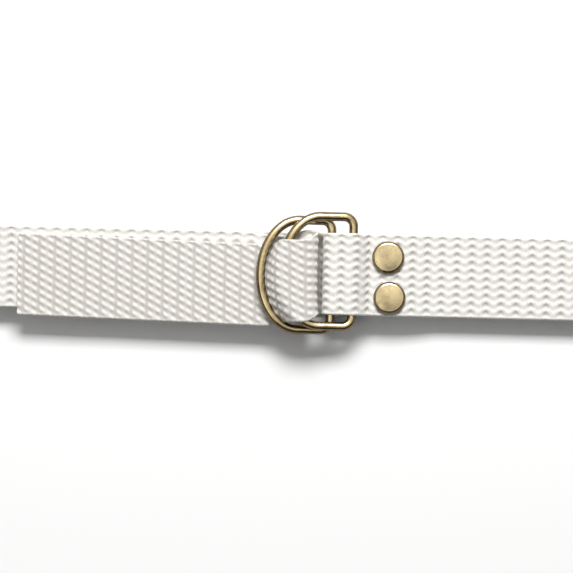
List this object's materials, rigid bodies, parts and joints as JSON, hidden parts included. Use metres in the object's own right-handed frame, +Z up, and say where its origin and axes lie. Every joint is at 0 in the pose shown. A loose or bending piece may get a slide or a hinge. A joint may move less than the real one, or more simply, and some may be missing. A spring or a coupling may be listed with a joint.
{
  "type": "gait belt",
  "caption": "Wide woven cotton transfer belt closed in a loop, its free end doubled back through a pair of D-rings held by a riveted fold.",
  "frame": {"origin": "middle of the back run's underside, where the belt lies on the floor", "axes": "+X along the strap towards the riveted loop's side, +Y across the strap, +Z up from the floor through the rings"},
  "size_m": [0.544, 0.0759, 0.0312],
  "materials": {
    "webbing": "matte",
    "ring_brass": "polished",
    "rivet_brass": "polished"
  },
  "bodies": {
    "back_run": {"back_run_centre": "webbing"},
    "right_back_length_1_body": {"right_back_length_1": "webbing"},
    "right_back_length_2_body": {"right_back_length_2": "webbing"},
    "right_back_length_3_body": {"right_back_length_3": "webbing"},
    "right_back_end_length_body": {"right_back_end_length": "webbing"},
    "right_front_end_length_body": {"right_front_end_length": "webbing"},
    "right_front_length_3_body": {"right_front_length_3": "webbing"},
    "right_front_length_2_body": {"right_front_length_2": "webbing"},
    "right_front_length_1_body": {"right_front_length_1": "webbing"},
    "left_back_length_1_body": {"left_back_length_1": "webbing"},
    "left_back_length_2_body": {"left_back_length_2": "webbing"},
    "left_back_length_3_body": {"left_back_length_3": "webbing"},
    "left_back_end_length_body": {"left_back_end_length": "webbing"},
    "left_front_end_length_body": {"left_front_end_length": "webbing"},
    "left_front_length_3_body": {"left_front_length_3": "webbing"},
    "left_front_length_2_body": {"left_front_length_2": "webbing"},
    "left_front_length_1_body": {"left_front_length_1": "webbing", "free_end_start": "webbing"},
    "loop_end": {"riveted_ring_loop": "ring_brass", "upper_rivet_cap": "rivet_brass", "upper_rivet_post": "rivet_brass", "lower_rivet_cap": "rivet_brass", "lower_rivet_post": "rivet_brass"},
    "turnback_end": {"ring_turnback": "webbing"},
    "lower_ring": {"lower_d_ring": "ring_brass"},
    "upper_ring": {"upper_d_ring": "ring_brass"},
    "free_end_1": {"free_end_length_1": "webbing"},
    "free_end_2": {"free_end_length_2": "webbing"},
    "free_end_3": {"free_end_tip": "webbing"}
  },
  "joints": [
    {"name": "loop_open", "type": "hinge", "parent": "back_run", "child": "right_back_length_1_body", "pos_m": [0.068, 0, 0.0013], "axis": [0, -1, 0], "range_deg": [0, 18]},
    {"name": "right_back_flex_2", "type": "hinge", "parent": "right_back_length_1_body", "child": "right_back_length_2_body", "pos_m": [0.1173, 0, 0.0013], "axis": [0, -1, 0], "range_deg": [0, 18]},
    {"name": "right_back_flex_3", "type": "hinge", "parent": "right_back_length_2_body", "child": "right_back_length_3_body", "pos_m": [0.1667, 0, 0.0013], "axis": [0, -1, 0], "range_deg": [0, 18]},
    {"name": "right_back_flex_4", "type": "hinge", "parent": "right_back_length_3_body", "child": "right_back_end_length_body", "pos_m": [0.216, 0, 0.0013], "axis": [0, -1, 0], "range_deg": [0, 18]},
    {"name": "right_fold_open", "type": "hinge", "parent": "right_back_end_length_body", "child": "right_front_end_length_body", "pos_m": [0.272, 0, 0.00665], "axis": [0, 1, 0], "range_deg": [0, 144]},
    {"name": "right_front_flex_4", "type": "hinge", "parent": "right_front_end_length_body", "child": "right_front_length_3_body", "pos_m": [0.216, 0, 0.012], "axis": [0, -1, 0], "range_deg": [0, 18]},
    {"name": "right_front_flex_3", "type": "hinge", "parent": "right_front_length_3_body", "child": "right_front_length_2_body", "pos_m": [0.1667, 0, 0.012], "axis": [0, -1, 0], "range_deg": [0, 18]},
    {"name": "right_front_flex_2", "type": "hinge", "parent": "right_front_length_2_body", "child": "right_front_length_1_body", "pos_m": [0.1173, 0, 0.012], "axis": [0, -1, 0], "range_deg": [0, 18]},
    {"name": "right_front_flex_1", "type": "hinge", "parent": "right_front_length_1_body", "child": "loop_end", "pos_m": [0.068, 0, 0.012], "axis": [0, -1, 0], "range_deg": [0, 18]},
    {"name": "left_back_flex_1", "type": "hinge", "parent": "back_run", "child": "left_back_length_1_body", "pos_m": [-0.068, 0, 0.0013], "axis": [0, 1, 0], "range_deg": [0, 18]},
    {"name": "left_back_flex_2", "type": "hinge", "parent": "left_back_length_1_body", "child": "left_back_length_2_body", "pos_m": [-0.1173, 0, 0.0013], "axis": [0, 1, 0], "range_deg": [0, 18]},
    {"name": "left_back_flex_3", "type": "hinge", "parent": "left_back_length_2_body", "child": "left_back_length_3_body", "pos_m": [-0.1667, 0, 0.0013], "axis": [0, 1, 0], "range_deg": [0, 18]},
    {"name": "left_back_flex_4", "type": "hinge", "parent": "left_back_length_3_body", "child": "left_back_end_length_body", "pos_m": [-0.216, 0, 0.0013], "axis": [0, 1, 0], "range_deg": [0, 18]},
    {"name": "left_fold_open", "type": "hinge", "parent": "left_back_end_length_body", "child": "left_front_end_length_body", "pos_m": [-0.272, 0, 0.00665], "axis": [0, -1, 0], "range_deg": [0, 144]},
    {"name": "left_front_flex_4", "type": "hinge", "parent": "left_front_end_length_body", "child": "left_front_length_3_body", "pos_m": [-0.216, 0, 0.012], "axis": [0, 1, 0], "range_deg": [0, 18]},
    {"name": "left_front_flex_3", "type": "hinge", "parent": "left_front_length_3_body", "child": "left_front_length_2_body", "pos_m": [-0.1667, 0, 0.012], "axis": [0, 1, 0], "range_deg": [0, 18]},
    {"name": "left_front_flex_2", "type": "hinge", "parent": "left_front_length_2_body", "child": "left_front_length_1_body", "pos_m": [-0.1173, 0, 0.012], "axis": [0, 1, 0], "range_deg": [0, 18]},
    {"name": "left_front_flex_1", "type": "hinge", "parent": "left_front_length_1_body", "child": "turnback_end", "pos_m": [-0.068, 0, 0.012], "axis": [0, 1, 0], "range_deg": [0, 18]},
    {"name": "ring_rock", "type": "hinge", "parent": "loop_end", "child": "lower_ring", "pos_m": [-0.0087, -0.00105, 0.01355], "axis": [0, 1, 0], "range_deg": [0, 1.6]},
    {"name": "upper_ring_rock", "type": "hinge", "parent": "loop_end", "child": "upper_ring", "pos_m": [0.00465, 0.00155, 0.01725], "axis": [0, 1, 0], "range_deg": [0, 1.6]},
    {"name": "tail_lift", "type": "hinge", "parent": "left_front_length_1_body", "child": "free_end_1", "pos_m": [-0.09, -0.006, 0.016], "axis": [0, 1, 0], "range_deg": [0, 70]},
    {"name": "tail_flex_1", "type": "hinge", "parent": "free_end_1", "child": "free_end_2", "pos_m": [-0.1173, -0.006, 0.012], "axis": [0, -1, 0], "range_deg": [0, 18], "stiffness_Nm_per_rad": 0.1},
    {"name": "tail_flex_2", "type": "hinge", "parent": "free_end_2", "child": "free_end_3", "pos_m": [-0.1667, -0.0055, 0.012], "axis": [0, -1, 0], "range_deg": [0, 18], "stiffness_Nm_per_rad": 0.04}
  ],
  "couplings": [
    {"joint": "right_back_flex_2", "follows": "loop_open", "ratio": 1},
    {"joint": "right_back_flex_3", "follows": "loop_open", "ratio": 1},
    {"joint": "right_back_flex_4", "follows": "loop_open", "ratio": 1},
    {"joint": "right_fold_open", "follows": "loop_open", "ratio": 8},
    {"joint": "right_front_flex_4", "follows": "loop_open", "ratio": 1},
    {"joint": "right_front_flex_3", "follows": "loop_open", "ratio": 1},
    {"joint": "right_front_flex_2", "follows": "loop_open", "ratio": 1},
    {"joint": "right_front_flex_1", "follows": "loop_open", "ratio": 1},
    {"joint": "left_back_flex_1", "follows": "loop_open", "ratio": 1},
    {"joint": "left_back_flex_2", "follows": "loop_open", "ratio": 1},
    {"joint": "left_back_flex_3", "follows": "loop_open", "ratio": 1},
    {"joint": "left_back_flex_4", "follows": "loop_open", "ratio": 1},
    {"joint": "left_fold_open", "follows": "loop_open", "ratio": 8},
    {"joint": "left_front_flex_4", "follows": "loop_open", "ratio": 1},
    {"joint": "left_front_flex_3", "follows": "loop_open", "ratio": 1},
    {"joint": "left_front_flex_2", "follows": "loop_open", "ratio": 1},
    {"joint": "left_front_flex_1", "follows": "loop_open", "ratio": 1},
    {"joint": "upper_ring_rock", "follows": "ring_rock", "ratio": 1},
    {"joint": "tail_flex_1", "follows": "loop_open", "ratio": 1},
    {"joint": "tail_flex_2", "follows": "loop_open", "ratio": 1}
  ]
}
